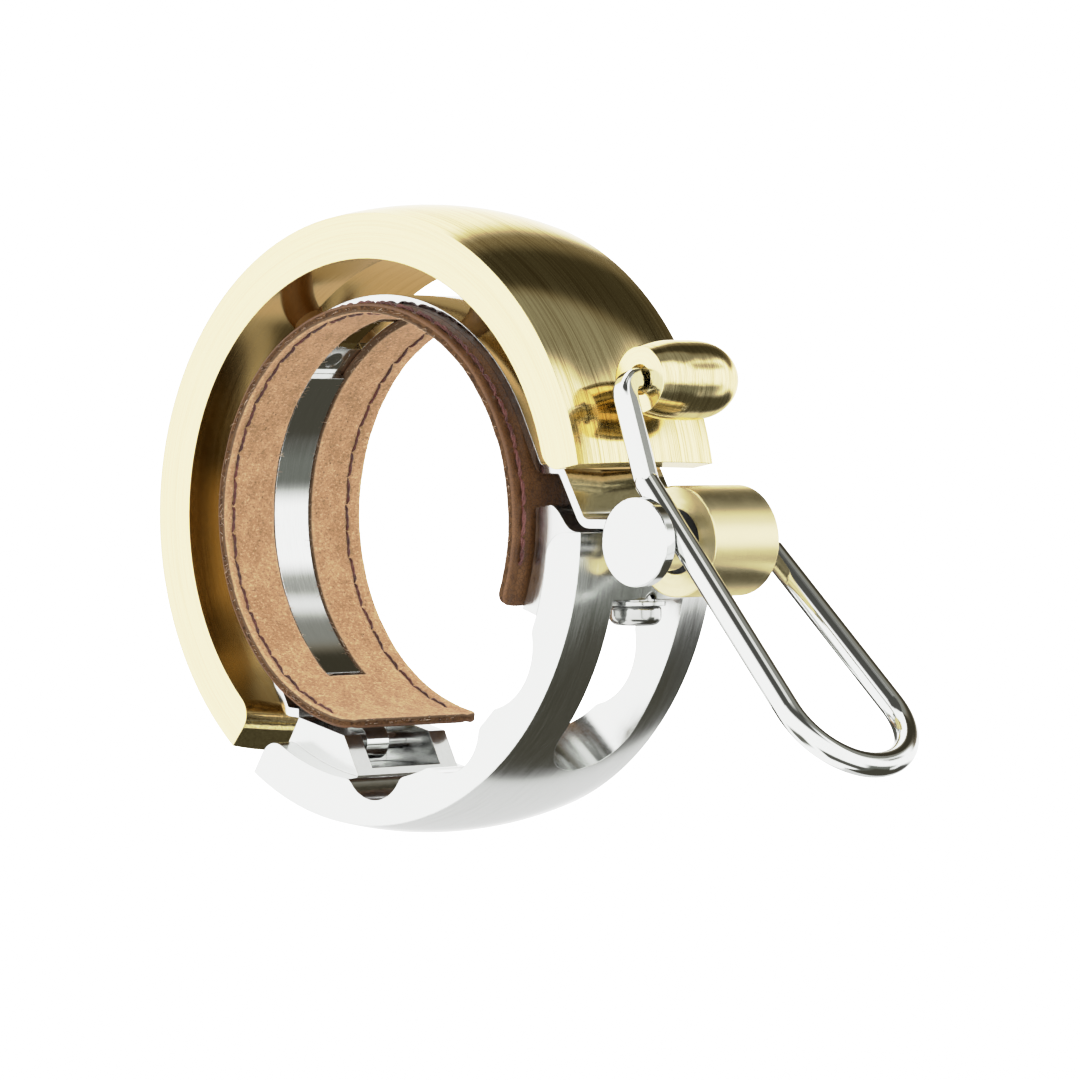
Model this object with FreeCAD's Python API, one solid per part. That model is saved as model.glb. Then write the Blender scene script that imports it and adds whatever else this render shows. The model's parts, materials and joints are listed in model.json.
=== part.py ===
import FreeCAD, Part
import math
import os

# A clamp-on bicycle bell.  Millimetres, +Z up.  The Y axis is the handlebar's axis, +X points to the
# lever, and the origin is the centre of the handlebar at the middle of the bell's width.

V = FreeCAD.Vector
ORIGIN = V(0, 0, 0)
ALONG_Y = V(0, 1, 0)

# ---- driving dimensions --------------------------------------------------------------------------

BAR_R = 15.9             # a 31.8 mm handlebar
LEATHER_T = 0.8
BAND_T = 0.7             # spring-steel band and ear

RING_HALF_W = 7.45       # half of the bell ring's width along the bar
RING_OUT_R = 23.7        # at the ring's two edges
RING_IN_R = 20.15
CROWN = 0.85             # how much further out the ring's middle stands
RING_START, RING_END = 10.3, 230.8
RING_CORNER_R = 1.7

LEATHER_HALF_W = 7.5
LEATHER_START, LEATHER_END = -23.5, 263.0
SLOT_HALF_W = 2.0
SLOT_START, SLOT_END = 103.0, 233.0
THREAD_W = 0.3
STITCH_FRONT_Y, STITCH_REAR_Y = -6.5, 6.0
STITCH_MARGIN = 4.0      # degrees left free at each end of a row

BAND_HALF_W = 5.3
BAND_LEAVES_RIGHT, BAND_LEAVES_LEFT = 27.0, 208.0
WINDOW_START, WINDOW_STOP = 112.5, 127.5             # angles of the opening in the band above the side stud
BAND_WINDOW_HALF_W = 2.2
PAD_IN_R, PAD_HALF_W = 16.1, 1.85                    # raised pad on the band, which fills the strap's slot
PAD_START, PAD_END = 137.3, 231.5
LEDGE_Z = 3.85           # mid-thickness height of the ledge under the ring's right end
LEDGE_OUT_X = 19.45
EAR_BEND_X, EAR_Z = 21.75, -0.25
EAR_END_X = 26.0
TOE_X, TOE_Z = -11.0, -15.55
TONGUE_HALF_W = 1.2
TONGUE_T = 0.7
TONGUE_SHOULDER = 1.4    # the toe narrows to the tongue this far in from its bend

CRADLE_X, CRADLE_Z = 0.1, -0.5      # centre of the lower cradle's curve
CRADLE_OUT_R = 23.5
CRADLE_IN_R = 20.0
CRADLE_START = 237.6
CRADLE_TOP_Z = -0.85
CRADLE_TIP_R, CRADLE_TOP_R = 1.6, 2.0    # rounding of the cradle's two ends
CORE_HALF_W = 5.55
CORE_GAP = 0.35          # between the leather and the cradle's core
CORE_TOP = ((17.05, 0.95), (18.6, 1.15), (19.4, 0.7), (20.15, -0.2))     # (x, z) of its S-shaped top
CORE_LOW_R = 21.0
CORE_CORNER_X, CORE_CORNER_Z = 21.6, -3.0
BLOCK_OUTLINE = ((-9.3, -15.95), (-4.1, -17.2), (-2.3, -20.7),           # (x, z) of the hinge block
                 (-3.0, -21.4), (-8.0, -20.8), (-10.9, -18.6))
GROOVES = ((273.5, 21.5, 3.2), (300.5, 21.5, 3.6), (326.3, 21.2, 5.0))   # angle, floor radius, cutter radius
GROOVE_LIP_R = 0.9
POCKET_HALF_W = 3.75
POCKET_LEFT_X, POCKET_RIGHT_X, POCKET_FLOOR_Z = -9.0, -2.0, -19.75
POCKET_MOUTH_Z = -15.0
TONGUE_ROOM_X, TONGUE_ROOM_Z = -11.0, -16.8          # where the toe dips into the block's rim
WINDOW_HALF_W = 3.87
WINDOW_TOP_Z = -6.05
WINDOW_END = 309.0
WINDOW_ROUND = 9.4       # degrees that the window's round end takes

HINGE_X, HINGE_Z = -7.4, -18.0
HINGE_PIN_R = 0.7
KNUCKLE_R = 1.4
PIN_END_WALL = 0.5       # material left in front of and behind the hinge pin
RUN_GAP = 0.03           # radial clearance of every running fit

SCREW_X = 22.2
SCREW_R = 1.5            # M3
HEAD_R, HEAD_H = 2.0, 1.5
HEAD_EDGE_R, HEAD_TOP_R = 0.7, 0.3
SOCKET_FLAT, SOCKET_DEPTH = 1.0, 0.9     # half the hex socket's width across flats
WASHER_R, WASHER_T = 2.3, 0.35
SEAT_GAP = 0.12
NUT_BOTTOM_Z = -3.1
NUT_HALF_W = 2.4
NUT_REACH = 1.4          # from the screw's axis towards the pivot
NUT_CLEAR = 0.3
SCREW_GRIP = 2.2         # how far the screw reaches into the nut
OPEN_TRAVEL_X = 0.8      # room for the cradle's sideways travel as it opens

PIVOT_X, PIVOT_Z = 29.45, -1.5
BARREL_R, BARREL_BORE_R = 4.2, 2.45
BARREL_FRONT, BARREL_REAR = -3.3, 3.7
PIN_R = 1.0
CAP_R, CAP_T = 3.35, 1.0
CAP_FRONT = -7.75
HUB_SHAFT_R = 1.5
FRONT_BOSS_R, REAR_BOSS_R = 2.2, 1.8
BUSH_L = 1.3
BUSH_SET_BACK = 0.35
SPRING_TURNS, SPRING_WIRE_R, SPRING_GAP = 5, 0.22, 0.35
RIM_R = 0.12             # rounding of the cap's and the barrel's rims
CLIP_T, CLIP_R = 0.3, 1.5
PIN_GROOVE_R, PIN_TAIL = 0.7, 0.15
END_PLAY = 0.05

WIRE_R = 0.95
LEG_Y = 5.7              # front and rear legs stand this far from the middle
LOOP_TILT = 3.6          # degrees that the loop leans about its own length, rear leg up
ARM_SIDE = 1.6           # the upper arm is a square bar
ARM_EDGE_R = 0.45
MITRE_X, MITRE_Z = 29.1, 3.1
APEX_X, APEX_Z = 46.95, -17.6    # middle of the loop's round end
HAMMER_X, HAMMER_Z = 26.2, 10.6
HAMMER_FRONT, HAMMER_L = -3.75, 9.6
HAMMER_FACE_R, HAMMER_R = 2.5, 3.03
HAMMER_BELLY = 0.36      # place of the largest radius, as a share of the length
HAMMER_SHOULDER, HAMMER_SHOULDER_BACK = 0.83, 0.16   # radius share, and length share from the rear
HAMMER_HOLE_R, HAMMER_HOLE_DEPTH = 1.15, 1.2
PEG_DEPTH = 0.6          # share of the hammer's length that the arm's peg reaches in
ELBOW_R = 1.5

STUD_ANGLES = {"top": 69.0, "side": 132.0}
STUD_R = 0.8
STUD_HEAD_R = 1.5
STUD_HEAD_T = 0.56
GROMMET_R = 1.3
STUD_DEPTH = 1.6         # how far a stud screws into the ring


# ---- helpers -------------------------------------------------------------------------------------

def polar(r, degrees, y=0.0, cx=0.0, cz=0.0):
    a = math.radians(degrees)
    return V(cx + r * math.cos(a), y, cz + r * math.sin(a))


def sector(face, start, end, cx=0.0, cz=0.0):
    """Sweeps a section drawn at (x = radius, y) round the Y axis, counter-clockwise seen from -Y."""
    face = face.copy()
    face.rotate(ORIGIN, V(0, -1, 0), start)
    solid = face.revolve(ORIGIN, V(0, -1, 0), end - start)
    solid.translate(V(cx, 0, cz))
    return solid


def polygon_section(points):
    return Part.Face(Part.makePolygon([V(x, y, 0) for x, y in points] + [V(*points[0], 0)]))


def flat_ring(r_in, r_out, half_w, start, end, cx=0.0, cz=0.0):
    section = polygon_section([(r_in, -half_w), (r_out, -half_w), (r_out, half_w), (r_in, half_w)])
    return sector(section, start, end, cx, cz)


def crowned_section(r_in_edge, r_in_middle, r_out, half_w):
    """A bar section with a domed outside and a shallow V inside."""
    low, high = V(r_out, -half_w, 0), V(r_out, half_w, 0)
    edges = [Part.Arc(low, V(r_out + CROWN, 0, 0), high).toShape()]
    inner = [high, V(r_in_edge, half_w, 0), V(r_in_middle, 0, 0), V(r_in_edge, -half_w, 0), low]
    for a, b in zip(inner, inner[1:]):
        if a.distanceToPoint(b) > 1e-6:
            edges.append(Part.makeLine(a, b))
    return Part.Face(Part.Wire(edges))


def rod_y(x, z, r, y0, y1):
    return Part.makeCylinder(r, y1 - y0, V(x, y0, z), ALONG_Y)


def tube_y(x, z, r_in, r_out, y0, y1):
    return rod_y(x, z, r_out, y0, y1).cut(rod_y(x, z, r_in, y0 - 1, y1 + 1))


def block(x0, x1, y0, y1, z0, z1):
    return Part.makeBox(x1 - x0, y1 - y0, z1 - z0, V(x0, y0, z0))


def plate(points, half_w):
    """Extrudes an outline of (x, z) points over the given half width along Y."""
    wire = Part.makePolygon([V(x, -half_w, z) for x, z in points] + [V(points[0][0], -half_w, points[0][1])])
    return Part.Face(wire).extrude(V(0, 2 * half_w, 0))


def radial_rod(angle, r, r0, r1, y=0.0):
    direction = polar(1, angle)
    return Part.makeCylinder(r, r1 - r0, polar(r0, angle, y), direction)


def edges_along_y(shape, wanted):
    """The straight edges parallel to Y whose (x, z) place passes the test."""
    found = []
    for edge in shape.Edges:
        if not isinstance(edge.Curve, Part.Line) or len(edge.Vertexes) != 2:
            continue
        a, b = (v.Point for v in edge.Vertexes)
        if abs(a.x - b.x) < 1e-4 and abs(a.z - b.z) < 1e-4 and wanted(a.x, a.z):
            found.append(edge)
    return found


def near(x, z, reach=0.15):
    return lambda px, pz: math.hypot(px - x, pz - z) < reach


def offset_line(points, distance):
    """Shifts an open (x, z) polyline sideways, to the left of its direction, with mitred corners."""
    shifted = []
    for i, (x, z) in enumerate(points):
        normals = []
        for a, b in ((i - 1, i), (i, i + 1)):
            if a < 0 or b >= len(points):
                continue
            dx, dz = points[b][0] - points[a][0], points[b][1] - points[a][1]
            length = math.hypot(dx, dz)
            normals.append((-dz / length, dx / length))
        nx = sum(n[0] for n in normals) / len(normals)
        nz = sum(n[1] for n in normals) / len(normals)
        scale = distance / (nx * nx + nz * nz)
        shifted.append((x + nx * scale, z + nz * scale))
    return shifted


# ---- clamp: leather, thread, band ----------------------------------------------------------------

LEATHER_OUT_R = BAR_R + LEATHER_T
BAND_MID_R = LEATHER_OUT_R + BAND_T / 2
BAND_OUT_R = LEATHER_OUT_R + BAND_T


def leather_liner():
    strap = flat_ring(BAR_R, LEATHER_OUT_R, LEATHER_HALF_W, LEATHER_START, LEATHER_END)
    slot = flat_ring(BAR_R - 1, LEATHER_OUT_R + 1, SLOT_HALF_W, SLOT_START, SLOT_END)
    return strap.cut(slot)


def stitching(y):
    section = polygon_section([(BAR_R, y - THREAD_W / 2), (LEATHER_OUT_R, y - THREAD_W / 2),
                               (LEATHER_OUT_R, y + THREAD_W / 2), (BAR_R, y + THREAD_W / 2)])
    return sector(section, LEATHER_START + STITCH_MARGIN, LEATHER_END - STITCH_MARGIN)


def band_strip(centre_line, half_w, thickness):
    left = offset_line(centre_line, thickness / 2)
    right = offset_line(centre_line, -thickness / 2)
    return plate(left + right[::-1], half_w)


def tangent_point(angle, r=BAND_MID_R):
    p = polar(r, angle)
    return p.x, p.z


def clamp_band():
    hug = flat_ring(LEATHER_OUT_R, BAND_OUT_R, BAND_HALF_W, BAND_LEAVES_RIGHT, BAND_LEAVES_LEFT)
    window = flat_ring(LEATHER_OUT_R - 1, BAND_OUT_R + 1, BAND_WINDOW_HALF_W, WINDOW_START, WINDOW_STOP)
    hug = hug.cut(window)
    pad = flat_ring(PAD_IN_R, LEATHER_OUT_R + BAND_T / 2, PAD_HALF_W, PAD_START, PAD_END)

    start = tangent_point(BAND_LEAVES_RIGHT)
    slope = math.tan(math.radians(BAND_LEAVES_RIGHT))
    corner_x = start[0] + (start[1] - LEDGE_Z) * slope
    ear_line = [start, (corner_x, LEDGE_Z), (LEDGE_OUT_X, LEDGE_Z), (EAR_BEND_X, EAR_Z), (EAR_END_X, EAR_Z)]
    ear = band_strip(ear_line, BAND_HALF_W, BAND_T)
    outer, inner = offset_line(ear_line, BAND_T / 2), offset_line(ear_line, -BAND_T / 2)
    for i, radius in ((1, 0.35), (2, 0.3), (3, 0.8)):
        tight, wide = (outer, inner) if i != 2 else (inner, outer)
        ear = ear.makeFillet(radius, edges_along_y(ear, near(*tight[i])))
        ear = ear.makeFillet(radius + BAND_T, edges_along_y(ear, near(*wide[i])))

    leave = tangent_point(BAND_LEAVES_LEFT)
    toe_line = [leave, (TOE_X, TOE_Z), (HINGE_X, TOE_Z - 0.25)]
    toe = band_strip(toe_line, BAND_HALF_W, BAND_T)
    toe_cut = block(TOE_X + TONGUE_SHOULDER, HINGE_X + 2, TONGUE_HALF_W, BAND_HALF_W + 1,
                    TOE_Z - 3, TOE_Z + 3)
    toe = toe.cut(toe_cut).cut(toe_cut.mirror(ORIGIN, ALONG_Y))
    outside = offset_line(toe_line, -BAND_T / 2)[1]
    inside = offset_line(toe_line, BAND_T / 2)[1]
    toe = toe.makeFillet(BAND_T + 0.3, edges_along_y(toe, near(*outside)))
    toe = toe.makeFillet(0.3, edges_along_y(toe, near(*inside)))

    neck = block(HINGE_X - TONGUE_T / 2, HINGE_X + TONGUE_T / 2, -TONGUE_HALF_W, TONGUE_HALF_W,
                 HINGE_Z, TOE_Z - 0.3)
    knuckle = rod_y(HINGE_X, HINGE_Z, KNUCKLE_R, -TONGUE_HALF_W, TONGUE_HALF_W)
    band = hug.fuse([ear, toe, neck, knuckle, pad])
    band = band.cut(rod_y(HINGE_X, HINGE_Z, HINGE_PIN_R + RUN_GAP, -9, 9))
    for angle in STUD_ANGLES.values():
        band = band.cut(radial_rod(angle, STUD_R, LEATHER_OUT_R - 1, BAND_OUT_R + 1))
        band = band.cut(stud_head(angle))
    return band.removeSplitter()


def stud_head(angle):
    """Countersunk head, flush with the inside of the band."""
    seat = polar(LEATHER_OUT_R + 0.02, angle)
    return Part.makeCone(STUD_HEAD_R, STUD_R, STUD_HEAD_T, seat, polar(1, angle))


# ---- bell ring and what holds it -----------------------------------------------------------------

RING_MID_R = RING_IN_R + CROWN


def at_angle(point, degrees):
    difference = math.degrees(math.atan2(point.z, point.x)) - degrees
    return abs((difference + 180) % 360 - 180) < 0.01


def bell_ring():
    section = crowned_section(RING_IN_R, RING_MID_R, RING_OUT_R, RING_HALF_W)
    ring = sector(section, RING_START, RING_END)
    for end in (RING_START, RING_END):
        corner_edges = []
        for edge in ring.Edges:
            if len(edge.Vertexes) != 2:
                continue
            ends = [v.Point for v in edge.Vertexes]
            if all(at_angle(p, end) and math.hypot(p.x, p.z) < RING_MID_R + 0.01 for p in ends):
                corner_edges.append(edge)
        ring = ring.makeFillet(RING_CORNER_R, corner_edges)
    for angle in STUD_ANGLES.values():
        ring = ring.cut(radial_rod(angle, STUD_R, RING_IN_R - 1, RING_MID_R + STUD_DEPTH))
    return ring


def ring_stud(angle):
    shank = radial_rod(angle, STUD_R, LEATHER_OUT_R + 0.1, RING_MID_R + STUD_DEPTH)
    return shank.fuse(stud_head(angle)).removeSplitter()


def ring_grommet(angle):
    sleeve = radial_rod(angle, GROMMET_R, BAND_OUT_R - 0.3, RING_MID_R + 0.3)
    sleeve = sleeve.cut(radial_rod(angle, STUD_R, BAND_OUT_R - 1, RING_MID_R + 1))
    inside = rod_y(0, 0, BAND_OUT_R, -9, 9)
    wedge = crowned_section(RING_IN_R, RING_MID_R, RING_OUT_R, RING_HALF_W)
    return sleeve.cut(inside).cut(sector(wedge, angle - 20, angle + 20))


# ---- cradle --------------------------------------------------------------------------------------

def cradle():
    section = crowned_section(CRADLE_IN_R, CRADLE_IN_R, CRADLE_OUT_R, RING_HALF_W)
    body = sector(section, CRADLE_START, 364, CRADLE_X, CRADLE_Z)
    body = body.cut(block(10, 30, -9, 9, CRADLE_TOP_Z, 8))

    tip = polar(CRADLE_IN_R, CRADLE_START, 0, CRADLE_X, CRADLE_Z)
    top_x = CRADLE_X + math.sqrt(CRADLE_IN_R ** 2 - (CRADLE_TOP_Z - CRADLE_Z) ** 2)
    body = body.makeFillet(CRADLE_TIP_R, edges_along_y(body, near(tip.x, tip.z)))
    body = body.makeFillet(CRADLE_TOP_R, edges_along_y(body, near(top_x, CRADLE_TOP_Z)))

    for angle, floor_r, cutter_r in GROOVES:
        centre = polar(floor_r - cutter_r, angle, 0, CRADLE_X, CRADLE_Z)
        body = body.cut(rod_y(centre.x, centre.z, cutter_r, -9, 9))

    def on_lip(x, z):
        r = math.hypot(x - CRADLE_X, z - CRADLE_Z)
        return abs(r - CRADLE_IN_R) < 0.02 and z < -5
    body = body.makeFillet(GROOVE_LIP_R, edges_along_y(body, on_lip))

    body = body.fuse([left_block(), right_core()]).removeSplitter()
    for cutter in cradle_cutters():
        body = body.cut(cutter)
    return body


def left_block():
    return plate(BLOCK_OUTLINE, CORE_HALF_W)


def right_core():
    """Fills between the leather and the cradle's wall, with an S-shaped top under the ear."""
    y = -CORE_HALF_W
    top = [V(px, y, pz) for px, pz in CORE_TOP]
    outer_top = V(CORE_CORNER_X, y, CRADLE_TOP_Z)
    s_curve = Part.BSplineCurve()
    s_curve.interpolate(top[1:] + [outer_top])
    inner_r = LEATHER_OUT_R + CORE_GAP
    inner_top, inner_low = V(inner_r, y, 0.5), polar(inner_r, LEATHER_START, y)
    inner_middle = polar(inner_r, LEATHER_START / 2, y)
    low = polar(CORE_LOW_R, LEATHER_START + 1.0, y)
    corner = V(CORE_CORNER_X, y, CORE_CORNER_Z)
    edges = [Part.makeLine(inner_top, top[0]), Part.makeLine(top[0], top[1]), s_curve.toShape(),
             Part.makeLine(outer_top, corner), Part.makeLine(corner, low), Part.makeLine(low, inner_low),
             Part.Arc(inner_low, inner_middle, inner_top).toShape()]
    return Part.Face(Part.Wire(edges)).extrude(V(0, 2 * CORE_HALF_W, 0))


PIN_SPAN = (-CORE_HALF_W + PIN_END_WALL, CORE_HALF_W - PIN_END_WALL)


def cradle_cutters():
    pocket = block(POCKET_LEFT_X, POCKET_RIGHT_X, -POCKET_HALF_W, POCKET_HALF_W,
                   POCKET_FLOOR_Z, POCKET_MOUTH_Z)
    tongue_room = block(TONGUE_ROOM_X, POCKET_LEFT_X + 0.5, -POCKET_HALF_W, POCKET_HALF_W,
                        TONGUE_ROOM_Z, POCKET_MOUTH_Z)
    hinge_hole = rod_y(HINGE_X, HINGE_Z, HINGE_PIN_R, *PIN_SPAN)

    window = flat_ring(CRADLE_IN_R - 4, CRADLE_OUT_R + 4, WINDOW_HALF_W,
                       WINDOW_END + WINDOW_ROUND, 350, CRADLE_X, CRADLE_Z)
    round_end = radial_rod(WINDOW_END + WINDOW_ROUND, WINDOW_HALF_W, CRADLE_IN_R - 4, CRADLE_OUT_R + 4)
    round_end.translate(V(CRADLE_X, 0, CRADLE_Z))
    window = window.fuse(round_end).cut(block(10, 30, -9, 9, WINDOW_TOP_Z, 0))

    room_half_w = NUT_HALF_W + NUT_CLEAR
    nut_room = block(SCREW_X - NUT_HALF_W - OPEN_TRAVEL_X, SCREW_X + NUT_REACH + NUT_CLEAR,
                     -room_half_w, room_half_w, NUT_BOTTOM_Z - NUT_CLEAR, 3)
    slot_r = SCREW_R + 0.2
    shaft_room = Part.makeCylinder(slot_r, 12, V(SCREW_X, 0, -10))
    shaft_room = shaft_room.fuse(Part.makeCylinder(slot_r, 12, V(SCREW_X - OPEN_TRAVEL_X, 0, -10)))
    shaft_room = shaft_room.fuse(block(SCREW_X - OPEN_TRAVEL_X, SCREW_X, -slot_r, slot_r, -10, 2))
    return [pocket, tongue_room, hinge_hole, window, nut_room, shaft_room]


def cradle_hinge_pin():
    return rod_y(HINGE_X, HINGE_Z, HINGE_PIN_R, *PIN_SPAN)


# ---- clamp screw ---------------------------------------------------------------------------------

def clamp_nut(band):
    body = block(SCREW_X - NUT_HALF_W, SCREW_X + NUT_REACH, -NUT_HALF_W, NUT_HALF_W, NUT_BOTTOM_Z, EAR_Z)
    body = body.cut(Part.makeCylinder(SCREW_R + RUN_GAP, 10, V(SCREW_X, 0, -8)))
    above = block(15, SCREW_X + 5, -9, 9, EAR_Z - BAND_T / 2, 5)
    slanted = band.copy()
    for step in range(1, 6):
        raised = band.copy()
        raised.translate(V(0, 0, 0.4 * step))
        slanted = slanted.fuse(raised)
    return max(body.cut(above).cut(slanted).Solids, key=lambda s: s.Volume)


WASHER_TOP = WINDOW_TOP_Z - SEAT_GAP


def screw_washer():
    ring = Part.makeCylinder(WASHER_R, WASHER_T, V(SCREW_X, 0, WASHER_TOP - WASHER_T))
    return ring.cut(Part.makeCylinder(SCREW_R + RUN_GAP, 3, V(SCREW_X, 0, WASHER_TOP - 2)))


def clamp_screw():
    head_top = WASHER_TOP - WASHER_T - 0.01
    head = Part.makeCylinder(HEAD_R, HEAD_H, V(SCREW_X, 0, head_top - HEAD_H))
    rims = [e for e in head.Edges if isinstance(e.Curve, Part.Circle)]
    low_rim = min(rims, key=lambda e: e.CenterOfMass.z)
    high_rim = max(rims, key=lambda e: e.CenterOfMass.z)
    head = head.makeFillet(HEAD_EDGE_R, [low_rim])
    top_z = high_rim.CenterOfMass.z
    head = head.makeFillet(HEAD_TOP_R, [e for e in head.Edges if abs(e.CenterOfMass.z - top_z) < 0.01])
    shank = Part.makeCylinder(SCREW_R, NUT_BOTTOM_Z + SCREW_GRIP - head_top, V(SCREW_X, 0, head_top))
    socket_r = SOCKET_FLAT / math.cos(math.pi / 6)
    hexagon = [V(SCREW_X + socket_r * math.cos(math.radians(a)), socket_r * math.sin(math.radians(a)),
                 head_top - HEAD_H) for a in range(0, 361, 60)]
    socket = Part.Face(Part.makePolygon(hexagon)).extrude(V(0, 0, SOCKET_DEPTH))
    return head.fuse(shank).cut(socket).removeSplitter()


# ---- lever pivot ---------------------------------------------------------------------------------

CAP_REAR = CAP_FRONT + CAP_T
HUB_FRONT, HUB_REAR = CAP_REAR + END_PLAY, LEG_Y + WIRE_R / 2
SHAFT_FRONT, SHAFT_REAR = BARREL_FRONT - 0.4, BARREL_REAR + 0.4
CLIP_FRONT = HUB_REAR + END_PLAY
PIN_END = CLIP_FRONT + CLIP_T + PIN_TAIL


def pivot_barrel(band):
    barrel = tube_y(PIVOT_X, PIVOT_Z, BARREL_BORE_R, BARREL_R, BARREL_FRONT, BARREL_REAR)
    circles = [e for e in barrel.Edges if isinstance(e.Curve, Part.Circle)]
    barrel = barrel.makeFillet(RIM_R, [e for e in circles if e.Curve.Radius > BARREL_BORE_R + 0.1])
    return barrel.cut(band)


def pivot_pin():
    cap = rod_y(PIVOT_X, PIVOT_Z, CAP_R, CAP_FRONT, CAP_REAR)
    cap = cap.makeFillet(RIM_R, [e for e in cap.Edges if isinstance(e.Curve, Part.Circle)])
    pin = rod_y(PIVOT_X, PIVOT_Z, PIN_R, CAP_REAR - 0.2, PIN_END)
    groove = tube_y(PIVOT_X, PIVOT_Z, PIN_GROOVE_R, PIN_R + 1, CLIP_FRONT, CLIP_FRONT + CLIP_T)
    return cap.fuse(pin).cut(groove).removeSplitter()


def retaining_clip():
    ring = tube_y(PIVOT_X, PIVOT_Z, PIN_GROOVE_R, CLIP_R, CLIP_FRONT, CLIP_FRONT + CLIP_T)
    mouth = block(PIVOT_X, PIVOT_X + 4, -9, 9, PIVOT_Z - PIN_R * 0.6, PIVOT_Z + PIN_R * 0.6)
    return ring.cut(mouth)


def bush(y0):
    return tube_y(PIVOT_X, PIVOT_Z, HUB_SHAFT_R + RUN_GAP, BARREL_BORE_R, y0, y0 + BUSH_L)


def torsion_spring():
    y0 = BARREL_FRONT + BUSH_SET_BACK + BUSH_L + SPRING_GAP
    y1 = BARREL_REAR - BUSH_SET_BACK - BUSH_L - SPRING_GAP
    radius = (HUB_SHAFT_R + BARREL_BORE_R) / 2
    helix = Part.makeHelix((y1 - y0) / SPRING_TURNS, y1 - y0, radius)
    profile = Part.Wire(Part.makeCircle(SPRING_WIRE_R, V(radius, 0, 0), V(0, 1, 0)))
    spring = Part.Wire(helix).makePipeShell([profile], True, True)
    spring.rotate(ORIGIN, V(1, 0, 0), -90)
    spring.translate(V(PIVOT_X, y0, PIVOT_Z))
    return spring


# ---- striker -------------------------------------------------------------------------------------

def lever_hub():
    boss = rod_y(PIVOT_X, PIVOT_Z, FRONT_BOSS_R, HUB_FRONT, SHAFT_FRONT)
    boss = boss.makeChamfer(0.15, [e for e in boss.Edges if isinstance(e.Curve, Part.Circle)])
    shaft = rod_y(PIVOT_X, PIVOT_Z, HUB_SHAFT_R, SHAFT_FRONT - 0.5, HUB_REAR)
    return boss.fuse(shaft).cut(rod_y(PIVOT_X, PIVOT_Z, PIN_R + RUN_GAP, -9, 9)).removeSplitter()


def rear_collar():
    return tube_y(PIVOT_X, PIVOT_Z, HUB_SHAFT_R, REAR_BOSS_R, SHAFT_REAR, HUB_REAR)


def striker_wire():
    """Round wire: down the front, round the finger loop in two quarter turns and back to the pivot."""
    apex = V(APEX_X, 0, APEX_Z)
    front_way = V(APEX_X - MITRE_X, 0, APEX_Z - MITRE_Z).normalize()
    upward = V(-front_way.z, 0, front_way.x)
    tilt = math.radians(LOOP_TILT)
    side = ALONG_Y * math.cos(tilt) + upward * math.sin(tilt)
    rear_way = V(APEX_X - PIVOT_X, 0, APEX_Z - PIVOT_Z).normalize()
    rear_way = (rear_way - side * rear_way.dot(side)).normalize()

    turn_front = apex - front_way * LEG_Y - side * LEG_Y
    turn_rear = apex - rear_way * LEG_Y + side * LEG_Y
    mitre = V(MITRE_X, 0, MITRE_Z) - side * LEG_Y
    hub = V(PIVOT_X, LEG_Y, PIVOT_Z)
    rear_end = turn_rear - rear_way * (turn_rear.distanceToPoint(hub) - HUB_SHAFT_R - 0.15)

    def quarter_middle(way, sign):
        centre = apex - way * LEG_Y
        return centre + (way + side * sign) * (LEG_Y * math.sqrt(0.5))
    path = Part.Wire([
        Part.makeLine(mitre, turn_front),
        Part.Arc(turn_front, quarter_middle(front_way, -1), apex).toShape(),
        Part.Arc(apex, quarter_middle(rear_way, 1), turn_rear).toShape(),
        Part.makeLine(turn_rear, rear_end),
    ])
    profile = Part.Wire(Part.makeCircle(WIRE_R, mitre, front_way))
    wire = path.makePipeShell([profile], True, False)
    for piece in arm_bar(mitre):
        wire = wire.fuse(piece)
    return wire.removeSplitter()


def arm_bar(mitre):
    """Square bar from the mitre up to the elbow, then round into the hammer."""
    hammer = V(HAMMER_X, mitre.y, HAMMER_Z)
    up = (hammer - mitre).normalize()
    half = ARM_SIDE / 2
    length = mitre.distanceToPoint(hammer) - ELBOW_R
    side = up.cross(ALONG_Y).normalize()

    def square_at(p):
        signs = ((1, 1), (1, -1), (-1, -1), (-1, 1))
        corners = [p + side * (half * sx) + ALONG_Y * (half * sy) for sx, sy in signs]
        return Part.Face(Part.makePolygon(corners + corners[:1]))
    bar = square_at(mitre).extrude(up * length)
    along = [e for e in bar.Edges if abs(e.Length - length) < 1e-3]
    bar = bar.makeFillet(ARM_EDGE_R, along)

    elbow_start = mitre + up * length
    top_face = min(bar.Faces, key=lambda f: f.CenterOfMass.distanceToPoint(elbow_start))
    axis_point = elbow_start + ALONG_Y * ELBOW_R
    elbow = top_face.revolve(axis_point, side, 90)
    if elbow.BoundBox.ZMax < HAMMER_Z:
        elbow = top_face.revolve(axis_point, side, -90)
    peg = rod_y(HAMMER_X, HAMMER_Z, half, mitre.y + ELBOW_R - 0.1, HAMMER_FRONT + HAMMER_L * PEG_DEPTH)
    knee = Part.makeSphere(WIRE_R, mitre)
    return [bar, elbow, peg, knee]


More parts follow.
